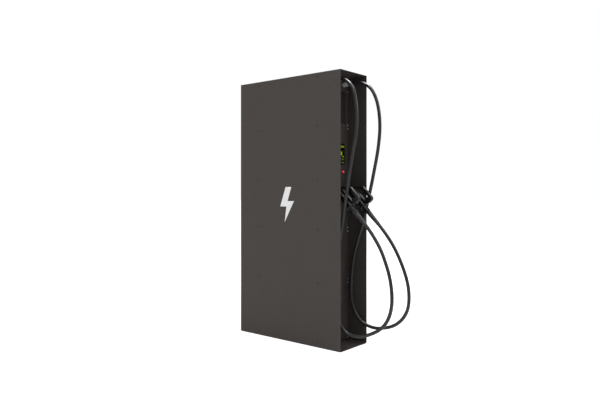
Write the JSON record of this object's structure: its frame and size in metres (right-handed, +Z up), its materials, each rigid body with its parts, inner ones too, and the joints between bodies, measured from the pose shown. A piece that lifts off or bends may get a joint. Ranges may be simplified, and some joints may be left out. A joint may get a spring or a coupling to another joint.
{
  "type": "electric vehicle charging station",
  "caption": "Free-standing slim cabinet that charges electric vehicles through gland-fed cables with hand-held connectors resting in holsters below a display.",
  "frame": {"origin": "middle of the cabinet footprint on the floor", "axes": "+X across the front to the viewer's right, -Y out of the front, +Z up"},
  "size_m": [0.3, 1.266, 1.8],
  "materials": {
    "dark_paint": "fine-textured powder coat, dark warm grey",
    "zinc_steel": "zinc-plated sheet",
    "screw_steel": "plain steel",
    "black_steel": "blackened steel",
    "white_sheet": "white powder coat",
    "black_plastic": "satin black moulded plastic",
    "grey_plastic": "matte dark grey plastic",
    "cable_rubber": "smooth satin black jacket",
    "screen_glass": "tinted glossy cover",
    "screen_housing": "dark housing",
    "red_plastic": "glossy red",
    "nickel": "bright nickel plating",
    "cast_aluminium": "plain sheet aluminium",
    "circuit_board": "green solder mask"
  },
  "bodies": {
    "cabinet": {"left_side_panel": "dark_paint", "right_side_panel": "dark_paint", "roof_panel": "dark_paint", "floor_plate": "dark_paint", "front_left_upright": "zinc_steel", "front_right_upright": "zinc_steel", "rear_left_upright": "zinc_steel", "rear_right_upright": "zinc_steel", "cross_rails": "zinc_steel", "side_rails": "zinc_steel", "left_panel_screws": "black_steel", "right_panel_screws": "black_steel", "front_plate_screws": "screw_steel", "back_plate_screws": "screw_steel", "lightning_emblem": "white_sheet", "gland_plate": "dark_paint", "vent_plate": "dark_paint", "air_grille": "dark_paint", "display_plate": "dark_paint", "holster_plate": "dark_paint", "upper_service_plate": "dark_paint", "lower_service_plate": "dark_paint", "back_vent_plate": "dark_paint", "back_service_plate": "dark_paint", "display_glass": "screen_glass", "display_module": "screen_housing", "stop_button_collar": "black_plastic", "stop_button_switch": "black_plastic", "left_gland_body": "nickel", "left_gland_nut": "nickel", "right_gland_body": "nickel", "right_gland_nut": "nickel", "gland_locknuts": "nickel", "left_charging_cable": "cable_rubber", "right_charging_cable": "cable_rubber", "left_connector_shell": "black_plastic", "left_contact_insert": "grey_plastic", "left_clamp_nut": "black_plastic", "left_boot": "cable_rubber", "right_connector_shell": "black_plastic", "right_contact_insert": "grey_plastic", "right_clamp_nut": "black_plastic", "right_boot": "cable_rubber", "connector_screws": "black_steel", "left_holster": "black_plastic", "right_holster": "black_plastic", "fan_frame": "black_plastic", "power_module_1": "cast_aluminium", "power_module_2": "cast_aluminium", "power_module_3": "cast_aluminium", "module_shelves": "zinc_steel", "mounting_plate": "zinc_steel", "controller_board": "circuit_board", "contactors": "black_plastic", "terminal_block": "grey_plastic", "supply_gland": "black_plastic"},
    "stop_button": {"stop_button_cap": "red_plastic"},
    "left_trigger": {"left_release_trigger": "black_plastic"},
    "right_trigger": {"right_release_trigger": "black_plastic"},
    "fan": {"fan_rotor": "black_plastic"}
  },
  "joints": [
    {"name": "stop_button_slide", "type": "slide", "parent": "cabinet", "child": "stop_button", "axis": [0, 1, 0], "range_m": [0, 0.004], "stiffness_N_per_m": 400},
    {"name": "left_trigger_slide", "type": "slide", "parent": "cabinet", "child": "left_trigger", "axis": [0, -0.7071, -0.7071], "range_m": [0, 0.004], "stiffness_N_per_m": 400},
    {"name": "right_trigger_slide", "type": "slide", "parent": "cabinet", "child": "right_trigger", "axis": [0, -0.7071, -0.7071], "range_m": [0, 0.004], "stiffness_N_per_m": 400},
    {"name": "fan_spin", "type": "hinge", "parent": "cabinet", "child": "fan", "pos_m": [0, -0.27, 1.5945], "axis": [0, 1, 0], "continuous": true}
  ]
}
